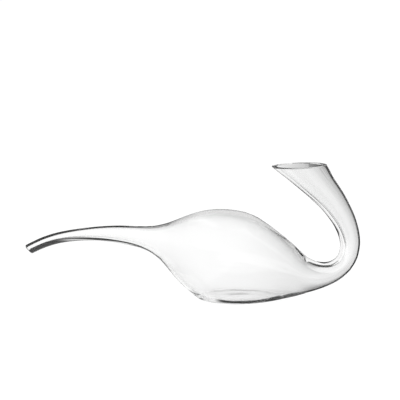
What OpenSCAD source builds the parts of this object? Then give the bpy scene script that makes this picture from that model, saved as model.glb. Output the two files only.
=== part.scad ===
// Free-blown wine decanter that lies along its length like a resting bird.
// A long drawn spout pours on the left, a bowl with a pressed flat foot stands
// in the middle, and on the right a neck bends up through half a turn and leans
// back to a flared mouth. The wall is one smooth loft: round slices set square
// to a curved middle line, a bore inside them, and melted round lips at both ends.
// X runs from spout to neck, Z is up, and the middle of the foot is the origin.

/* [Pouring spout] */
// How far the tip lies from the middle of the foot
spout_reach = 278; // [270:1:300]
// Height of the tip's middle
spout_tip_h = 67; // [55:1:80]
// Outside diameter at the tip
spout_tip_d = 14; // [13:0.5:18]
// Place where the spout starts to droop, from the middle of the foot
droop_reach = 258.5; // [240:0.5:264]
// Height of the middle line there
droop_h = 76; // [68:1:84]
// Outside diameter there
droop_d = 14.5; // [13:0.5:18]
// Place of the spout's highest point, from the middle of the foot
crest_reach = 207; // [190:1:220]
// Height of the middle line at the highest point
crest_h = 86.5; // [78:0.5:94]
// Outside diameter at the highest point
crest_d = 17; // [15:0.5:22]
// Place where the spout starts to swell, from the middle of the foot
swell_reach = 151.5; // [141:0.5:163]
// Height of the middle line there
swell_h = 86; // [78:1:92]
// Outside diameter there
swell_d = 25; // [21:0.5:30]
// Glass thickness at the drooping end
tip_wall = 5; // [4:0.25:5.5]
// Glass thickness along the rest of the spout
spout_wall = 4.25; // [3:0.25:5]
// How far the bore lies above the middle, where the glass sank to the underside
spout_offset = 1.25; // [0:0.25:1.5]
// Angle of the cut across the tip, measured from an upright cut
spout_cut = 42; // [30:1:50]

/* [Bowl] */
// Place of the shoulder where the spout opens into the bowl
shoulder_reach = 101; // [93:1:110]
// Height of the middle line at the shoulder
shoulder_h = 78; // [72:0.5:86]
// Outside diameter at the shoulder
shoulder_d = 47.5; // [41:0.5:55]
// Place of the front slice of the bowl
front_reach = 71.5; // [63:0.5:79]
// Height of the middle line at the front slice
front_h = 71; // [64:0.5:77]
// Outside diameter of the front slice
front_d = 89; // [81:0.5:97]
// Place of the crown slice, on the spout's side of the foot
crown_reach = 33; // [25:0.5:42]
// Height of the middle line at the crown
crown_h = 60.5; // [56:0.5:65]
// Outside diameter at the crown
crown_d = 123.5; // [116:0.5:132]
// Place of the rear slice, on the neck's side of the foot
rear_reach = 10.5; // [3:0.5:19]
// Height of the middle line at the rear slice
rear_h = 48; // [43:0.5:53]
// Outside diameter of the rear slice
rear_d = 127.5; // [120:0.5:136]
// Place of the haunch where the bowl narrows towards the neck
haunch_reach = 65.5; // [59:0.5:72]
// Height of the middle line at the haunch
haunch_h = 36.5; // [33:0.5:42]
// Outside diameter at the haunch
haunch_d = 77; // [70:0.5:84]
// How much wider than tall the bowl was pressed
bowl_spread = 26; // [10:1:36]
// Glass thickness of the bowl
bowl_wall = 3; // [2:0.25:4]

/* [Foot] */
// Height of the foot pad under the bowl
foot_h = 2; // [2:0.25:4]
// Length of the foot pad
foot_l = 90; // [86:1:98]
// Width of the foot pad
foot_w = 86; // [60:1:90]
// Diameter of the polished hollow under the foot
punt_d = 46; // [30:1:56]
// Depth of that hollow
punt_depth = 1; // [0.5:0.25:1.5]
// Glass thickness of the bowl's floor above the pad
floor_t = 3; // [2.5:0.25:5]
// How softly the floor rounds into the wall
floor_soft = 4; // [2:0.5:5]

/* [Neck] */
// Place where the neck leaves the bowl
root_reach = 90; // [84:0.5:98]
// Height of the middle line there
root_h = 31.5; // [29:0.5:36]
// Outside diameter there
root_d = 51; // [44:0.5:54]
// Place of the lower end of the bend
bend_reach = 141; // [135:1:147]
// Height of the middle line there
bend_h = 45; // [40:1:50]
// Outside diameter there
bend_d = 26; // [23:0.5:30]
// Place of the upper end of the bend, the far side of the decanter
side_reach = 150; // [145:1:158]
// Height of the middle line there
side_h = 61; // [56:1:70]
// Outside diameter there
side_d = 26; // [23:0.5:30]
// Place of the neck where it starts to flare
flare_reach = 141; // [132:1:148]
// Height of the middle line there
flare_h = 111; // [100:1:120]
// Outside diameter there
flare_d = 32; // [28:1:38]
// Glass thickness of the neck
neck_wall = 5; // [4:0.25:6]
// How much the bore lies off centre in the bend, where the inner side is thicker
bend_offset = 2; // [0.5:0.25:2.25]
// How much it lies off centre just below and above the bend
neck_offset = 1.25; // [0:0.25:1.75]

/* [Mouth] */
// Place of the mouth's middle
mouth_reach = 84.5; // [70:0.5:95]
// Height of the mouth's middle under the lip
mouth_h = 178.5; // [165:0.5:195]
// Outside diameter of the flare across the mouth
mouth_d = 52; // [44:1:60]
// Glass thickness at the mouth
mouth_wall = 4; // [3:0.25:4.5]
// Angle of the cut across the mouth, 90 is level
mouth_cut = 92; // [85:1:100]

/* [Hidden] */

// Flat facets round each slice, slices per step between two stations, rings round a lip
// and cones that make up the hollow under the foot
SIDES = 36;
SLICES = 5;
LIP_RINGS = 7;
PUNT_STEPS = 4;
$fn = 96;

glass = [0.86, 0.92, 0.94, 0.55];
clear_glass = [0.90, 0.94, 0.96, 0.55];

// Stations along the decanter: place, height, height of the slice, width of the slice, wall, bore offset
STATIONS = [
    [-spout_reach, spout_tip_h, spout_tip_d, spout_tip_d, tip_wall, -spout_offset],
    [-droop_reach, droop_h, droop_d, droop_d, tip_wall, -spout_offset],
    [-crest_reach, crest_h, crest_d, crest_d, spout_wall, -spout_offset],
    [-swell_reach, swell_h, swell_d, swell_d, spout_wall, -spout_offset],
    [-shoulder_reach, shoulder_h, shoulder_d, shoulder_d, (spout_wall + bowl_wall) / 2, 0],
    [-front_reach, front_h, front_d, front_d + bowl_spread / 2, bowl_wall, 0],
    [-crown_reach, crown_h, crown_d, crown_d + bowl_spread, bowl_wall, 0],
    [rear_reach, rear_h, rear_d, rear_d + bowl_spread, bowl_wall, 0],
    [haunch_reach, haunch_h, haunch_d, haunch_d + bowl_spread / 2, bowl_wall, 0],
    [root_reach, root_h, root_d, root_d, (bowl_wall + neck_wall) / 2, neck_offset],
    [bend_reach, bend_h, bend_d, bend_d, neck_wall, bend_offset],
    [side_reach, side_h, side_d, side_d, neck_wall, bend_offset],
    [flare_reach, flare_h, flare_d, flare_d, neck_wall, neck_offset],
    [mouth_reach, mouth_h, mouth_d, mouth_d, mouth_wall, 0]
];
LAST = len(STATIONS) - 1;
STILL = [0, 0, 0, 0, 0, 0];

// Seams between the worked sections, each at the end of the one it names,
// counted in steps from the first station
TIP_STEPS = 0.6;
SPOUT_STEPS = 3.4;
SHOULDER_STEPS = 4.6;
FRONT_STEPS = 5.6;
BELLY_STEPS = 6.8;
BACK_STEPS = 8;
ROOT_STEPS = 9.4;
BEND_STEPS = 11.4;
STEM_STEPS = 12.2;
FUNNEL_STEPS = 12.8;

// Share of the end steps over which the slices turn from square to the cut
TIP_TURN = 0.7;
MOUTH_TURN = 0.6;

// A smooth curve with no jump in its bending, through all the stations at once
GAPS = [for (i = [0 : LAST - 1]) norm([for (k = [0, 1]) STATIONS[i + 1][k] - STATIONS[i][k]])];
function slope(i) = (STATIONS[i + 1] - STATIONS[i]) / GAPS[i];
function forward(i) =
    i == 0 ? [0, STILL] :
    let (
        before = forward(i - 1),
        pivot = 2 * (GAPS[i - 1] + GAPS[i]) - GAPS[i - 1] * before[0]
    )
    [GAPS[i] / pivot, (6 * (slope(i) - slope(i - 1)) - GAPS[i - 1] * before[1]) / pivot];
FORWARD = [for (i = [0 : LAST - 1]) forward(i)];
function bending(i) = i == 0 || i == LAST ? STILL : FORWARD[i][1] - FORWARD[i][0] * bending(i + 1);
BENDING = [for (i = [0 : LAST]) bending(i)];

function step_of(u) = min(floor(u), LAST - 1);
function along(u) =
    let (i = step_of(u), b = u - i, a = 1 - b)
    a * STATIONS[i] + b * STATIONS[i + 1]
    + GAPS[i] * GAPS[i] / 6 * ((a * a * a - a) * BENDING[i] + (b * b * b - b) * BENDING[i + 1]);
function rate(u) =
    let (i = step_of(u), b = u - i, a = 1 - b)
    slope(i) + GAPS[i] / 6 * ((1 - 3 * a * a) * BENDING[i] + (3 * b * b - 1) * BENDING[i + 1]);
function heading(u) = let (r = rate(u)) atan2(r[1], r[0]);

// Turn of a slice away from square, so that the ends follow their cuts
function ease(q) = let (c = min(max(q, 0), 1)) c * c * (3 - 2 * c);
function turn(u) =
    (spout_cut - heading(0)) * ease(1 - u / TIP_TURN)
    + (mouth_cut - heading(LAST)) * ease(1 - (LAST - u) / MOUTH_TURN);

// The foot presses the bowl flat from below, with a soft edge
function pressed(z, level) =
    let (q = z - level)
    q >= floor_soft ? z :
    q <= -floor_soft ? level :
    level + (q + floor_soft) * (q + floor_soft) / (4 * floor_soft);

// One ring of the loft: deep is the depth into the wall, from 0 outside to 1 at the bore,
// and out moves the ring along the decanter, past the end of the wall
function ring(u, deep, out = 0) =
    let (
        s = along(u),
        skew = turn(u),
        aim = heading(u) + skew,
        half_h = (s[2] / 2 - deep * s[4]) / cos(skew),
        half_w = s[3] / 2 - deep * s[4],
        drop = -deep * s[5],
        level = foot_h + deep * floor_t
    )
    [for (j = [0 : SIDES - 1])
        let (
            a = 360 * j / SIDES,
            up = half_h * cos(a) + drop,
            x = s[0] - up * sin(aim) + out * cos(aim),
            z = s[1] + up * cos(aim) + out * sin(aim)
        )
        [x, half_w * sin(a), pressed(z, level)]];

// Slices from one seam to another, evenly within each step
function slices(from, to) =
    let (count = max(ceil((to - from) * SLICES), 1))
    [for (k = [0 : count]) from + (to - from) * k / count];

// The round lip that closes the wall at one end, from outside to the bore
function lip(u, way) =
    let (thick = along(u)[4] / 2)
    [for (k = [1 : LIP_RINGS])
        let (a = 180 * k / (LIP_RINGS + 1))
        ring(u, (1 - cos(a)) / 2, way * thick * sin(a))];

function backwards(list) = [for (i = [len(list) - 1 : -1 : 0]) list[i]];

// A closed wall from a loop of rings that runs along the outside and back along the bore
module wall(rings) {
    count = len(rings);
    polyhedron(
        points = [for (r = rings) each r],
        faces = [
            for (i = [0 : count - 1], j = [0 : SIDES - 1])
            let (
                n = (i + 1) % count,
                m = (j + 1) % SIDES,
                here = i * SIDES + j,
                beside = i * SIDES + m,
                next = n * SIDES + j,
                across = n * SIDES + m
            )
            each [[here, beside, across], [here, across, next]]
        ]
    );
}

// A plain length of the wall between two seams
module section(from, to) {
    cuts = slices(from, to);
    wall(concat(
        [for (u = cuts) ring(u, 0)],
        [for (u = backwards(cuts)) ring(u, 1)]
    ));
}

// Pointed end of the spout with its melted lip
module spout_tip() {
    cuts = slices(0, TIP_STEPS);
    color(clear_glass) wall(concat(
        backwards(lip(0, -1)),
        [for (u = cuts) ring(u, 0)],
        [for (u = backwards(cuts)) ring(u, 1)]
    ));
}

// Long drawn tube that the wine runs through
module pour_spout() {
    color(glass) section(TIP_STEPS, SPOUT_STEPS);
}

// Trumpet where the tube opens into the bowl
module spout_root() {
    color(clear_glass) section(SPOUT_STEPS, SHOULDER_STEPS);
}

// Dome of the bowl on the spout's side
module bowl_front() {
    color(glass) section(SHOULDER_STEPS, FRONT_STEPS);
}

// Widest band of the bowl, where the wine stands over the foot
module bowl_belly() {
    color(clear_glass) section(FRONT_STEPS, BELLY_STEPS);
}

// Sloping back of the bowl on the neck's side
module bowl_back() {
    color(glass) section(BELLY_STEPS, BACK_STEPS);
}

// Oblong pad that the decanter stands on, hollowed and polished underneath
module foot_pad() {
    end = (foot_l - foot_w) / 2;
    color(clear_glass) difference() {
        linear_extrude(height = foot_h) {
            translate([-end, -foot_w / 2]) square([2 * end, foot_w]);
            translate([-end, 0]) circle(d = foot_w);
            translate([end, 0]) circle(d = foot_w);
        }
        rotate_extrude() polygon(concat(
            [for (k = [0 : PUNT_STEPS]) let (q = k / PUNT_STEPS)
                [q * punt_d / 2, punt_depth * (1 - q * q)]],
            [[punt_d / 2, -foot_h], [0, -foot_h]]
        ));
    }
}

// Funnel where the bowl draws in to the neck
module neck_root() {
    color(clear_glass) section(BACK_STEPS, ROOT_STEPS);
}

// Bend that turns the neck upwards
module neck_bend() {
    color(glass) section(ROOT_STEPS, BEND_STEPS);
}

// Slim stem that leans back above the bend, where a hand holds it
module neck_stem() {
    color(clear_glass) section(BEND_STEPS, STEM_STEPS);
}

// Flare that widens towards the mouth
module neck_funnel() {
    color(glass) section(STEM_STEPS, FUNNEL_STEPS);
}

// Melted lip round the mouth
module mouth_rim() {
    cuts = slices(FUNNEL_STEPS, LAST);
    color(clear_glass) wall(concat(
        [for (u = cuts) ring(u, 0)],
        lip(LAST, 1),
        [for (u = backwards(cuts)) ring(u, 1)]
    ));
}

spout_tip();
pour_spout();
spout_root();
bowl_front();
bowl_belly();
bowl_back();
foot_pad();
neck_root();
neck_bend();
neck_stem();
neck_funnel();
mouth_rim();
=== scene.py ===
# %% [markdown]
# # A blown glass decanter
#
# This lesson dresses a wine decanter in Blender: one wall of clear glass that runs from a drooping
# spout through a round bowl and a bent neck to a flared mouth. The sizes come from the packed
# frame, whose nodes are the sections of that wall, so the glass isn't fitted by eye.

# %% The frame and its box
import math

import bmesh
import bpy
import numpy as np
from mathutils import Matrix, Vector


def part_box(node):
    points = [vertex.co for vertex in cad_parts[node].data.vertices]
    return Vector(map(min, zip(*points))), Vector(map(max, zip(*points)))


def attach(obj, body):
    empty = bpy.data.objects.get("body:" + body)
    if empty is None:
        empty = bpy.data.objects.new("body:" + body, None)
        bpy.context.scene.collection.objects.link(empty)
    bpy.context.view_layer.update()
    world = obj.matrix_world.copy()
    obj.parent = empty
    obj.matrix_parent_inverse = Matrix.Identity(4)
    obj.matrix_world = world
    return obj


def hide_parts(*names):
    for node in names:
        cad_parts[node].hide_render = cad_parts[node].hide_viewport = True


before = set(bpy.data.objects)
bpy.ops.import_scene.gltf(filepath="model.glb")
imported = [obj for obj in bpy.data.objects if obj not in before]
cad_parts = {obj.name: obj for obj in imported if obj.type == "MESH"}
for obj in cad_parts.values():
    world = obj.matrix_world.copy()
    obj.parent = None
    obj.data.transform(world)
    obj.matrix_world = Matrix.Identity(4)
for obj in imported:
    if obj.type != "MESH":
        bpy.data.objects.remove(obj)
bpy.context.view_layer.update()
MM = 0.001
FOOT = "foot_pad"
SECTIONS = sorted(set(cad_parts) - {FOOT})
print("sections of the glass wall:", ", ".join(SECTIONS))

# %% [markdown]
# ## The wall as a grid
#
# A glassblower turns the piece on a pipe, so its wall is a stack of rings: along the outside,
# round the lip, back along the bore and round the other lip. The frame holds that wall in
# sections of loose triangles. They could be smoothed as they are, but glass shows each uneven
# triangle as a wobble in what is seen through it. So the triangles are welded first, the faces
# where two sections meet are left out, and the rings are read back as a tidy grid.

# %% Weld the sections
WELD = 0.01 * MM

welded = bmesh.new()
section_of = welded.faces.layers.int.new("section")
for number, name in enumerate(SECTIONS):
    before = len(welded.faces)
    welded.from_mesh(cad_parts[name].data)
    welded.faces.ensure_lookup_table()
    for face in welded.faces[before:]:
        face[section_of] = number
loose = len(welded.verts)
bmesh.ops.remove_doubles(welded, verts=welded.verts, dist=WELD)
welded.verts.index_update()
points = np.array([v.co for v in welded.verts])
print("welded", loose, "corners into", len(points), "points")

# %% Leave out the faces between two sections
sections_at = [{face[section_of] for face in v.link_faces} for v in welded.verts]
skin = []
for face in welded.faces:
    corners = [v.index for v in face.verts]
    if any(len(sections_at[c]) == 1 for c in corners):
        skin.append(corners)
third_corner = {}
for a, b, c in skin:
    third_corner[a, b] = c
    third_corner[b, c] = a
    third_corner[c, a] = b
print("kept", len(skin), "of", len(welded.faces), "triangles as the skin")
welded.free()

# %% Walk round the wall, line by line
on_middle = np.abs(points[:, 1]) < WELD
beside = {}
for a, b in third_corner:
    if on_middle[a] and on_middle[b]:
        beside.setdefault(a, set()).add(b)
start = max(beside, key=lambda corner: points[corner][2])
line = [start, min(beside[start], key=lambda corner: points[corner][0])]
while line[-1] != start:
    line.append(next(c for c in beside[line[-1]] if c != line[-2]))
line.pop()
lines = [line]
while True:
    line = [third_corner[line[i - 1], line[i]] for i in range(len(line))]
    if line[0] == lines[0][0]:
        break
    lines.append(line)
grid = points[np.array(lines)]
print("the wall has", grid.shape[1], "rings of", grid.shape[0], "points")

# %% [markdown]
# ## The foot
#
# The real decanter has no separate foot: its bowl is pressed flat while it is soft and ground
# level underneath. The frame keeps that pad as a node of its own. Joining the two with a boolean
# would leave a sharp crease that the glass would show as a dark line, so the lowest part of the
# outside is drawn down to the pad's underside instead, and the ground hollow is pressed up into it.

# %% Draw the outside down to the ground face
SETTLE = 8 * MM

foot_low, foot_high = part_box(FOOT)
pad = foot_high.z - foot_low.z
foot_points = np.array([v.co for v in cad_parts[FOOT].data.vertices])
hollow_depth = max(z for z in foot_points[:, 2] if z < foot_high.z - WELD)
hollow_radius = np.hypot(*foot_points[foot_points[:, 2] < foot_low.z + WELD][:, :2].T).min()


def smooth_step(value):
    """A soft step from nothing to one."""
    value = np.clip(value, 0, 1)
    return value * value * (3 - 2 * value)


lowest = grid[:, :, 2].min(axis=0)
radius = np.hypot(grid[:, :, 0], grid[:, :, 1])
hollow = hollow_depth * (1 - smooth_step(radius / hollow_radius))
sink = (pad - hollow) * (1 - smooth_step((grid[:, :, 2] - lowest.min()) / SETTLE))
grid[:, :, 2] = grid[:, :, 2] - sink
print("foot drawn down", round(pad / MM, 2), "mm, hollow", round(hollow_depth / MM, 2), "mm deep")

# %% [markdown]
# ## Smooth glass
#
# On the real decanter the flame has polished the wall until no facet is left. The grid could be made
# finer by hand, but a Subdivision Surface does it by itself. It pulls a ring inwards a little,
# because it averages each point with its neighbours, so each point is first moved outwards by that
# same amount. The smooth wall then runs through the rings of the frame.

# %% Build the wall
SMOOTH_LEVELS = 2
CORRECTIONS = 3


def averaged(values, axis):
    """Where smoothing takes each point: four parts of itself and one of each neighbour."""
    return (np.roll(values, 1, axis) + 4 * values + np.roll(values, -1, axis)) / 6


control = grid
for _ in range(CORRECTIONS):
    control = control + grid - averaged(averaged(control, 0), 1)
around, along = grid.shape[:2]
faces = []
for j in range(around):
    for i in range(along):
        next_i = (i + 1) % along
        next_j = (j + 1) % around
        faces.append([j * along + i, j * along + next_i, next_j * along + next_i, next_j * along + i])
mesh = bpy.data.meshes.new("decanter_glass")
mesh.from_pydata(control.reshape(-1, 3).tolist(), [], faces)
mesh.shade_smooth()
decanter = bpy.data.objects.new("decanter_glass", mesh)
bpy.context.scene.collection.objects.link(decanter)
smoother = decanter.modifiers.new("smooth glass", "SUBSURF")
smoother.levels = SMOOTH_LEVELS
smoother.render_levels = SMOOTH_LEVELS
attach(decanter, "root")
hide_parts(FOOT, *SECTIONS)
print("decanter_glass has", len(faces), "faces before smoothing")

# %% [markdown]
# ## Writing shaders as sums
#
# Node trees are easier to read as formulas. A Wire stands for a socket, and adding or multiplying
# wires makes the Math nodes. Every other node comes from one method of the tree.


# %% Wires and trees
class Wire:
    """A node's output that can be used in sums."""

    def __init__(self, tree, socket):
        self.tree = tree
        self.socket = socket

    def sum_of(self, operation, first, second):
        return self.tree.add("ShaderNodeMath", {"operation": operation}, {0: first, 1: second}).out()

    def __add__(self, other):
        return self.sum_of("ADD", self, other)

    def __radd__(self, other):
        return self.sum_of("ADD", other, self)

    def __sub__(self, other):
        return self.sum_of("SUBTRACT", self, other)

    def __rsub__(self, other):
        return self.sum_of("SUBTRACT", other, self)

    def __mul__(self, other):
        return self.sum_of("MULTIPLY", self, other)

    def __rmul__(self, other):
        return self.sum_of("MULTIPLY", other, self)

    def __truediv__(self, other):
        return self.sum_of("DIVIDE", self, other)

    def __rtruediv__(self, other):
        return self.sum_of("DIVIDE", other, self)

    def __lt__(self, other):
        return self.sum_of("LESS_THAN", self, other)

    def __gt__(self, other):
        return self.sum_of("GREATER_THAN", self, other)


class Node:
    """A node with its outputs by name."""

    def __init__(self, tree, node):
        self.tree = tree
        self.node = node

    def out(self, name=0):
        return Wire(self.tree, self.node.outputs[name])


class Tree:
    """A node tree that is written from top to bottom."""

    def __init__(self, owner):
        owner.use_nodes = True
        self.nodes = owner.node_tree.nodes
        self.links = owner.node_tree.links
        self.nodes.clear()

    def add(self, kind, settings=None, inputs=None):
        node = self.nodes.new(kind)
        for name, value in (settings or {}).items():
            setattr(node, name, value)
        for name, value in (inputs or {}).items():
            if isinstance(value, Wire):
                self.links.new(value.socket, node.inputs[name])
            else:
                node.inputs[name].default_value = value
        return Node(self, node)


print("shaders can be written as sums")

# %% [markdown]
# ## Clear glass
#
# The real wall is colourless crystal glass, polished in the flame. A plain glass shader would do,
# but blown glass is never quite even: the melt is denser in places, and drawing it out leaves faint
# lines along its length. So a soft noise varies tint and polish, and a stretched noise drives a very
# shallow bump. All three stay far below what would bend the view through the bowl.

# %% How uneven the glass is
CLEAREST = (1.0, 1.0, 1.0, 1)
GREYEST = (0.992, 0.994, 0.993, 1)
MELT_SCALE = 14.0
MELT_DETAIL = 2.0
DRAW_STRETCH = (6.0, 90.0, 90.0)
DRAW_DETAIL = 1.0

glass = bpy.data.materials.new("clear_glass")
tree = Tree(glass)
place = tree.add("ShaderNodeTexCoord").out("Object")
melt = tree.add("ShaderNodeTexNoise", None, {
    "Vector": place, "Scale": MELT_SCALE, "Detail": MELT_DETAIL}).out("Fac")
tint = tree.add("ShaderNodeMix", {"data_type": "RGBA"}, {"Factor": melt, 6: GREYEST, 7: CLEAREST})
drawn = tree.add("ShaderNodeMapping", None, {"Vector": place, "Scale": DRAW_STRETCH}).out()
streaks = tree.add("ShaderNodeTexNoise", None, {
    "Vector": drawn, "Scale": 1.0, "Detail": DRAW_DETAIL}).out("Fac")
print("melt and draw lines take", len(tree.nodes), "nodes")

# %% The glass
SOFTEST = 0.02
DRAW_DEPTH = 0.2 * MM
DRAW_STRENGTH = 0.05
GLASS_INDEX = 1.5

relief = tree.add("ShaderNodeBump", None, {
    "Strength": DRAW_STRENGTH, "Distance": DRAW_DEPTH, "Height": streaks})
shader = tree.add("ShaderNodeBsdfPrincipled", None, {
    "Base Color": tint.out(2),
    "Roughness": SOFTEST * melt * melt * melt,
    "Normal": relief.out(),
    "IOR": GLASS_INDEX,
    "Transmission Weight": 1.0,
})
tree.add("ShaderNodeOutputMaterial", None, {"Surface": shader.out()})
mesh.materials.append(glass)
print("clear_glass has", len(tree.nodes), "nodes")

# %% [markdown]
# ## A white studio for glass
#
# Clear glass shows only its surroundings, so a photographer draws its lines with white screens and
# dark cards. One room that gives a white ground and dark lines at once would need many of them.
# Cycles counts how often a ray went into or out of glass and how often it was mirrored, so each kind
# of ray can be shown a set of its own: rays past the glass, those through one wall, which make its
# edges, those through both walls, and those mirrored on its face or round inside it. So the dark and
# bright lines of the glass, the shade seen through it and its gloss are painted light and shade.
# Where the screens, papers and cards below begin and end was found by trial, until the lines of the
# glass came close to those of the real one.


# %% Kinds of ray
# The counts are whole numbers, so the limits lie half way between them.
def mirrored_rays(tree):
    """Mark for rays that glass has mirrored at least once."""
    return tree.add("ShaderNodeLightPath").out("Glossy Depth") > 0.5


def edge_rays(tree):
    """Mark for rays that went into one wall of the glass and out again."""
    crossings = tree.add("ShaderNodeLightPath").out("Transmission Depth")
    return (crossings > 1.5) * (crossings < 2.5)


def other_rays(tree):
    """Marks for rays past the glass, through both walls, mirrored on its face and mirrored inside."""
    mirrored = mirrored_rays(tree)
    crossings = tree.add("ShaderNodeLightPath").out("Transmission Depth")
    few = crossings < 1.5
    many = crossings > 2.5
    return (1.0 - mirrored) * few, (1.0 - mirrored) * many, mirrored * few, mirrored * many


print("five kinds of ray are told apart")


# %% Ramps and axes
# A named ramp holds its start and end, and then its two levels where they aren't nothing and one.
def ramp(value, start, end, low=0.0, high=1.0):
    """A smooth change from a low level to a high one, or back, between two places along a value."""
    return value.tree.add("ShaderNodeMapRange", {"interpolation_type": "SMOOTHSTEP"}, {
        "Value": value,
        "From Min": start,
        "From Max": end,
        "To Min": low,
        "To Max": high,
    }).out()


def fade(value, start, end):
    """A smooth change from one to nothing."""
    return ramp(value, start, end, 1.0, 0.0)


def axes(vector):
    """The three parts of a vector."""
    parts = vector.tree.add("ShaderNodeSeparateXYZ", None, {0: vector})
    return parts.out("X"), parts.out("Y"), parts.out("Z")


print("ramps, fades and axes are ready")

# %% Two white screens, painted for the edges of the glass
DARK = 0.03
SCREEN_TURN = math.radians(110)
SCREEN_EDGE = (-0.2, 0.5, DARK, 1.0)
KEEP_OFF_ZERO = 0.0001


def screens(x, y):
    """Painted edge lines: bright towards two facing white screens, dark towards the flags between
    them.
    """
    along = math.cos(2 * SCREEN_TURN)
    aslant = 2 * math.sin(2 * SCREEN_TURN)
    facing = (along * (x * x - y * y) + aslant * (x * y)) / (x * x + y * y + KEEP_OFF_ZERO)
    return ramp(facing, *SCREEN_EDGE)


print("screens stand", round(math.degrees(SCREEN_TURN)), "degrees from the length of the decanter")

# %% [markdown]
# ## The room
#
# The room round the table is white and goes dark overhead, as under a photographer's white tent with
# an open top. A panorama picture could stand in for it, but a few ramps over the direction of a ray
# are easier to steer, and they paint shade and gloss on the glass that fade towards the neck, where
# the real glass looks darker. The room itself has no darker side there: only rays through or off the
# glass see one. The places are parts of a direction of length one.

# %% Room
OVERHEAD = (0.4, 0.9, 1.0, 0.15)
NECK_SIDE = (0.05, 0.35, 1.0, 0.5)
SCREEN_FOOT = (0.0, 0.2, 1.0, 0.5)
SCREEN_TOP = (0.3, 0.55, 1.0, 0.05)

world = bpy.data.worlds.new("studio")
bpy.context.scene.world = world
tree = Tree(world)
past, through, outside, inside = other_rays(tree)
x, y, z = axes(tree.add("ShaderNodeTexCoord").out("Generated"))
# Rays past the glass see the plain room; rays through both walls see it darker towards the neck, a
# painted shade.
tent = (past + through * ramp(x, *NECK_SIDE)) * ramp(z, *OVERHEAD)
# Edge rays see the screens: painted dark and bright lines along the glass.
edge = screens(x, y) * ramp(z, *SCREEN_FOOT) * ramp(z, *SCREEN_TOP)
print("tent and screens take", len(tree.nodes), "nodes")

# %% What the glass mirrors of the room, a painted reflection
LEAN = 0.5
FAR_GLOSS_FADE = (0.4, 0.9, 1.0, 0.1)
GLOSS_SIDE = (-0.2, 0.6, 1.0, 0.3)
INNER_SIDE = (-0.2, 0.5, 1.0, 0.05)
INNER_TOP = (0.3, 0.45, 1.0, 0.08)

leaning = x - LEAN * z
# Painted reflection: rays mirrored off the face see a room darker towards the back and the neck side,
# and rays mirrored inside the wall see one darker towards the neck side and overhead.
gloss = ramp(y, *FAR_GLOSS_FADE) * ramp(leaning, *GLOSS_SIDE)
inner = ramp(leaning, *INNER_SIDE) * ramp(z, *INNER_TOP)
level = tent + edge_rays(tree) * edge + outside * gloss + inside * inner
back = tree.add("ShaderNodeBackground", None, {"Color": level, "Strength": 1.0})
tree.add("ShaderNodeOutputWorld", None, {"Surface": back.out()})
print("the room has", len(tree.nodes), "nodes")

# %% [markdown]
# ## The table
#
# The decanter stands on a white table. A white plane under lamps would turn grey towards the back,
# so this one glows white by itself, and a small matt share keeps the soft shadow of the glass. It
# lies a little below the foot, so that it doesn't cut the glass. What the edges of the glass, its
# far wall and its gloss show of the table is painted apart: painted dark and bright lines, painted
# shade and painted reflections, which only rays through or off the glass see, as black and white
# paper lying on the table out of the picture would give.

# %% Table top
TABLE_RADIUS = 12
TABLE_CORNERS = 64
TABLE_GAP = 0.5 * MM

bpy.ops.mesh.primitive_circle_add(
    vertices=TABLE_CORNERS, radius=TABLE_RADIUS, fill_type="NGON", location=(0, 0, -TABLE_GAP))
floor = bpy.context.object
floor.name = "floor"
floor_paint = bpy.data.materials.new("floor")
floor.data.materials.append(floor_paint)
tree = Tree(floor_paint)
place = tree.add("ShaderNodeNewGeometry").out("Position")
x, y, z = axes(place)
print("table top", TABLE_RADIUS, "m in radius")

# %% Painted shade in front, for the dark line under the bowl
PAINTED_SHADE_AT_SPOUT = 60 * MM
PAINTED_SHADE_AT_BOWL = -53 * MM
PAINTED_SHADE_AT_NECK = 20 * MM
SPOUT_TO_BOWL = (-140 * MM, -100 * MM, PAINTED_SHADE_AT_SPOUT, 0.0)
BOWL_TO_NECK = (-60 * MM, 70 * MM, PAINTED_SHADE_AT_BOWL, PAINTED_SHADE_AT_NECK)
PAINTED_SHADE_BLUR = (-8 * MM, 8 * MM, DARK, 1.0)

# Only edge rays see this painted shade, the black paper, which draws the dark line under the bowl.
painted_shade_line = ramp(x, *BOWL_TO_NECK) + ramp(x, *SPOUT_TO_BOWL)
near = ramp(y - painted_shade_line, *PAINTED_SHADE_BLUR)
print("black paper up to", round(PAINTED_SHADE_AT_BOWL / MM), "mm at the bowl")

# %% Painted shade beside the spout, its tip and the neck
TIP_PAINTED_SHADE_LEFT = (-750 * MM, -550 * MM, 1.0 - DARK, 0.0)
TIP_PAINTED_SHADE_RIGHT = (-240 * MM, -200 * MM, DARK, 1.0)
SPOUT_PAINTED_SHADE_END = (-160 * MM, -100 * MM)
NECK_PAINTED_SHADE_LEFT = (60 * MM, 90 * MM)
NECK_PAINTED_SHADE_BACK = (35 * MM, 50 * MM)
NEAR_FRONT = (-150 * MM, -120 * MM)

# More painted shade for edge rays: by the tip, by the spout's end for rays not mirrored, by the neck
# for mirrored ones.
bent = 1.0 - mirrored_rays(tree)
near = near * (ramp(x, *TIP_PAINTED_SHADE_RIGHT) + ramp(x, *TIP_PAINTED_SHADE_LEFT))
near = near * (1.0 - bent * fade(x, *SPOUT_PAINTED_SHADE_END))
by_neck = ramp(x, *NECK_PAINTED_SHADE_LEFT) * fade(y, *NECK_PAINTED_SHADE_BACK)
near = near * (1.0 - by_neck) + by_neck * bent
near = near * ramp(y, *NEAR_FRONT)
print("the paper by the tip starts at", round(TIP_PAINTED_SHADE_LEFT[0] / MM), "mm")

# %% The front of the table, which shows the painted screens to the edges of the glass
FRONT = (-250 * MM, -150 * MM)
LEFT_CORNER_X = (-150 * MM, -50 * MM)
LEFT_CORNER_Y = (-100 * MM, 0.0)

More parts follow.
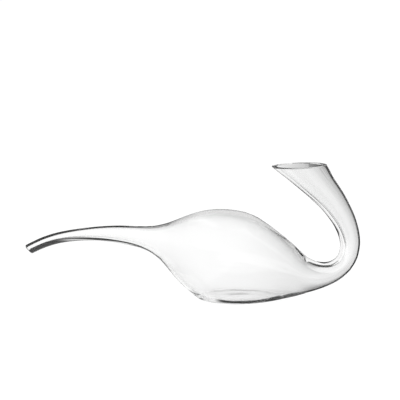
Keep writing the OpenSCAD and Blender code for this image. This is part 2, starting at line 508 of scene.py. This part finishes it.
# Painted shade: at the left front corner the edges of the glass see no screens.
left_corner = fade(x, *LEFT_CORNER_X) * fade(y, *LEFT_CORNER_Y)
edge = near + screens(x, y) * fade(y, *FRONT) * (1.0 - left_corner)
print("the front of the table starts at", round(FRONT[1] / MM), "mm")

# %% Painted shade on the table seen through both walls
GREYER_TO_NECK = (-50 * MM, 260 * MM, 1.11, 0.77)
GREYER_BEYOND = (260 * MM, 1.0, 1.0, 0.75)
BEND_LEFT = (75 * MM, 115 * MM)
BEND_RIGHT = (170 * MM, 200 * MM)
BEND_FRONT = (-80 * MM, -50 * MM)
BEND_BACK = (-50 * MM, 160 * MM)

# Painted shade: only rays through both walls see the table greyer towards the neck and dark under the
# bend;
# the table itself stays white.
under_bend = ramp(x, *BEND_LEFT) * fade(x, *BEND_RIGHT)
under_bend = under_bend * ramp(y, *BEND_FRONT) * fade(y, *BEND_BACK)
behind = ramp(x, *GREYER_TO_NECK) * ramp(x, *GREYER_BEYOND) * (1.0 - under_bend)
print("the table turns greyer from", round(GREYER_TO_NECK[0] / MM), "mm on")

# %% The table in the gloss, a painted reflection
ROUND_FOOT = (100 * MM, 500 * MM, 0.5, 0.95)
BEYOND_NECK = (100 * MM, 500 * MM, 1.0, 0.2)
GLOSS_END = (-80 * MM, -30 * MM, 1.0, 0.1)

# Painted reflection: rays mirrored inside the glass see the table darker round the foot and beyond
# the neck,
# and rays mirrored off its face see it bright only towards the spout.
reach = tree.add("ShaderNodeVectorMath", {"operation": "LENGTH"}, {0: place}).out("Value")
inner = ramp(reach, *ROUND_FOOT) * ramp(x, *BEYOND_NECK)
gloss = ramp(x, *GLOSS_END)
print("the gloss of the table ends at", round(GLOSS_END[1] / MM), "mm")

# %% Table paint
MATT_SHARE = 0.15
MATT_WHITE = (0.85, 0.85, 0.85, 1)
GROUND_WHITE = 1.16

past, through, outside, inside = other_rays(tree)
level = past * GROUND_WHITE + through * behind + edge_rays(tree) * edge
level = level + outside * gloss + inside * inner
matt = tree.add("ShaderNodeBsdfDiffuse", None, {"Color": MATT_WHITE})
glow = tree.add("ShaderNodeEmission", None, {"Color": level, "Strength": 1.0})
share = 1.0 - MATT_SHARE * past
white = tree.add("ShaderNodeMixShader", None, {0: share, 1: matt.out(), 2: glow.out()})
tree.add("ShaderNodeOutputMaterial", None, {"Surface": white.out()})
print("the table's paint has", len(tree.nodes), "nodes")

# %% [markdown]
# ## Cards behind the glass, which glow with painted edge lines
#
# The rim of a glass bends light so much that it shows what stands beside and behind it. A
# photographer sets cards there to draw the outline: a dark line along each wall, with a bright one
# next to it. Three upright cards stand in for them here, for the spout and bowl, for the neck, and
# for the valley between them. Each is one face that glows with a level painted by ramps in
# millimetres, and only rays through one wall see it, so the dark and bright lines along the glass
# are painted. The cards show nowhere else, and they throw no shadow.

# %% Stand and paint a card
CARD_HEIGHT = 800 * MM
CARD_END = 800 * MM


def stand_card(name, left, right, behind):
    """An upright card across the table: its tree and the place on it, along and up."""
    card_mesh = bpy.data.meshes.new(name)
    feet = [(left, behind, 0), (right, behind, 0)]
    tops = [(right, behind, CARD_HEIGHT), (left, behind, CARD_HEIGHT)]
    card_mesh.from_pydata(feet + tops, [], [[0, 1, 2, 3]])
    card = bpy.data.objects.new(name, card_mesh)
    bpy.context.scene.collection.objects.link(card)
    card.visible_shadow = False
    paint = bpy.data.materials.new(name)
    card_mesh.materials.append(paint)
    tree = Tree(paint)
    x, y, z = axes(tree.add("ShaderNodeNewGeometry").out("Position"))
    return tree, x, z


def paint_card(tree, level, cover=1.0):
    """Show a level to the edges of the glass, where the card covers, and nothing to other rays."""
    # The card glows with the painted level: painted dark and bright lines on the edges of the glass.
    glow = tree.add("ShaderNodeEmission", None, {"Color": level, "Strength": 1.0})
    clear = tree.add("ShaderNodeBsdfTransparent")
    share = edge_rays(tree) * cover
    shown = tree.add("ShaderNodeMixShader", None, {0: share, 1: clear.out(), 2: glow.out()})
    tree.add("ShaderNodeOutputMaterial", None, {"Surface": shown.out()})


print("cards are", round(CARD_HEIGHT / MM), "mm high")

# %% Bowl card, the side of the spout
BOWL_CARD = 100 * MM
VALLEY_FROM = 100 * MM
SLANT = 1.2
SLANT_BLUR = (0.0, 60 * MM, DARK, 0.75)
SLIT_X = -247 * MM
SLIT_Z = 107 * MM
SLIT_TURN = math.radians(40.5)
SLIT_BLUR = ((9 * MM) ** 2, (20 * MM) ** 2, 0.6, 0.0)
SLIT_END = (-255 * MM, -225 * MM)
SPOUT_END = (-150 * MM, -100 * MM)

tree, x, z = stand_card("bowl card", -CARD_END, VALLEY_FROM, BOWL_CARD)
guided = mirrored_rays(tree)
# Painted edge lines by the spout: dark below a slanting line, lighter above it, and the slit, a
# painted bright line by the tip.
across = math.cos(SLIT_TURN) * (x - SLIT_X) - math.sin(SLIT_TURN) * (z - SLIT_Z)
slit = ramp(across * across, *SLIT_BLUR) * ramp(x, *SLIT_END)
spout_side = (ramp(x + SLANT * z, *SLANT_BLUR) + slit) * (1.0 - guided * fade(x, *SPOUT_END))
print("bowl card", round(BOWL_CARD / MM), "mm behind the middle of the decanter")

# %% Bowl card, the side of the bowl
TOP_AT_BOWL = 200 * MM
TOP_AT_NECK = 85 * MM
TOP_DROP = (65 * MM, 90 * MM, TOP_AT_BOWL, TOP_AT_NECK)
TOP_BLUR = (-12 * MM, 8 * MM, 1.0, DARK)
LOW_STRIP = (24 * MM, 34 * MM, 1.0 - DARK, 0.0)
CORNER_LEFT = (-55 * MM, -40 * MM)
CORNER_RIGHT = (-8 * MM, 10 * MM)

# Painted edge lines by the bowl: bright below the top line, dark above it, and dark low down for
# mirrored rays except at the corner.
corner = ramp(x, *CORNER_LEFT) * fade(x, *CORNER_RIGHT)
low = guided * ramp(z, *LOW_STRIP) * (1.0 - corner)
bowl_side = ramp(z - ramp(x, *TOP_DROP), *TOP_BLUR) * (1.0 - low)
print("its bright part is", round(TOP_AT_BOWL / MM), "mm high at the bowl")

# %% Bowl card, the strip that the mouth shows
MOUTH_FOOT = (150 * MM, 157 * MM)
MOUTH_TOP = (173 * MM, 180 * MM)
MOUTH_LEFT = (30 * MM, 60 * MM)
MOUTH_SHADE = (40 * MM, 130 * MM, 0.9, 0.4)
SPOUT_OR_BOWL = (-85 * MM, -55 * MM)

# Painted shade in the mouth: a strip that darkens towards the neck.
in_mouth = ramp(z, *MOUTH_FOOT) * fade(z, *MOUTH_TOP) * ramp(x, *MOUTH_LEFT)
bowl_side = bowl_side + in_mouth * (ramp(x, *MOUTH_SHADE) - bowl_side)
at_bowl = ramp(x, *SPOUT_OR_BOWL)
paint_card(tree, spout_side * (1.0 - at_bowl) + bowl_side * at_bowl)
print("bowl card painted with", len(tree.nodes), "nodes")

# %% Neck card
NECK_CARD = 42 * MM
NECK_FROM = 90 * MM
NECK_BULGE_X = 158 * MM
NECK_BULGE_Z = 70 * MM
NECK_CURVE = 3.6
NECK_BLUR = (-6 * MM, 6 * MM)
NECK_PALER = (35 * MM, 55 * MM, 0.02, 0.5)
NECK_LOW = (60 * MM, 140 * MM, 0.1, 1.0)

tree, x, z = stand_card("neck card", NECK_FROM, CARD_END, NECK_CARD)
# Painted edge line on the neck for mirrored rays: dark beyond a curve round the bulge, paler further
# on, dimmer low down.
above = z - NECK_BULGE_Z
beyond = x - (NECK_BULGE_X - NECK_CURVE * above * above)
level = ramp(beyond, *NECK_PALER) * ramp(z, *NECK_LOW)
paint_card(tree, level, mirrored_rays(tree) * ramp(beyond, *NECK_BLUR))
print("neck card", round(NECK_CARD / MM), "mm behind, painted with", len(tree.nodes), "nodes")

# %% Valley card
VALLEY_CARD = 250 * MM
VALLEY_TOP = (135 * MM, 160 * MM, 1.0, DARK)
MOUTH_SHADOW_FOOT = (120 * MM, 130 * MM)
MOUTH_SHADOW_RIGHT = (125 * MM, 140 * MM)
MOUTH_SHADOW = 0.6

tree, x, z = stand_card("valley card", VALLEY_FROM, CARD_END, VALLEY_CARD)
# Painted edge lines in the valley: bright low down, dark higher up, with the mouth's painted shadow.
in_mouth = ramp(z, *MOUTH_SHADOW_FOOT) * fade(x, *MOUTH_SHADOW_RIGHT)
paint_card(tree, ramp(z, *VALLEY_TOP) * (1.0 - MOUTH_SHADOW * in_mouth))
print("valley card", round(VALLEY_CARD / MM), "mm behind, painted with", len(tree.nodes), "nodes")

# %% [markdown]
# ## A soft lamp
#
# The shadow under the glass is faint and soft, so one large lamp at the upper left is enough. A sun
# would draw a hard shadow. The lamp is kept out of the glass itself, because its square would show
# there as a window.

# %% Lamp
LAMP_SIZE = 0.8
LAMP_POWER = 5.5
LAMP_PLACE = Vector((-0.6, -0.5, 0.95))

lamp_data = bpy.data.lights.new("soft lamp", "AREA")
lamp_data.size = LAMP_SIZE
lamp_data.energy = LAMP_POWER
lamp = bpy.data.objects.new("soft lamp", lamp_data)
bpy.context.scene.collection.objects.link(lamp)
lamp.location = LAMP_PLACE
lamp.rotation_euler = LAMP_PLACE.to_track_quat("Z", "Y").to_euler()
lamp.visible_glossy = False
lamp.visible_transmission = False
print("soft lamp of", LAMP_POWER, "W,", round(LAMP_PLACE.length, 2), "m away")

# %% [markdown]
# ## The camera
#
# The decanter is seen from the side and a little from above, from far away through a long lens, so
# that near and far walls look alike in size. The lens follows from the distance and from how much of
# the decanter one dot of the picture covers. Light that runs along inside the wall is mirrored many
# times before it leaves, and with the usual limits it would end in dark patches, so the limits on
# bounces are raised.

# %% Camera
PIXEL = 1.34 * MM
PICTURE = 400
ELEVATION = math.radians(9)
DISTANCE = 6.7
SENSOR = 36
FARTHEST = 100
TARGET = Vector((-49.6 * MM, 0, 133.3 * MM))

camera_data = bpy.data.cameras.new("camera")
camera_data.sensor_width = SENSOR
camera_data.lens = SENSOR * DISTANCE / (PICTURE * PIXEL)
camera_data.clip_end = FARTHEST
camera = bpy.data.objects.new("camera", camera_data)
bpy.context.scene.collection.objects.link(camera)
towards_camera = Vector((0, -math.cos(ELEVATION), math.sin(ELEVATION)))
camera.location = TARGET + DISTANCE * towards_camera
camera.rotation_euler = (-towards_camera).to_track_quat("-Z", "Y").to_euler()
bpy.context.scene.camera = camera
print("lens of", round(camera_data.lens), "mm")

# %% View and bounces
BOUNCES = 32

bpy.context.scene.view_settings.view_transform = "Standard"
bpy.context.scene.cycles.max_bounces = BOUNCES
bpy.context.scene.cycles.glossy_bounces = BOUNCES
bpy.context.scene.cycles.transmission_bounces = BOUNCES
print("up to", BOUNCES, "bounces in the glass")

# %% [markdown]
# ## The end
#
# The script ends here, with the scene built.

# %% Finish
print("the scene is built")
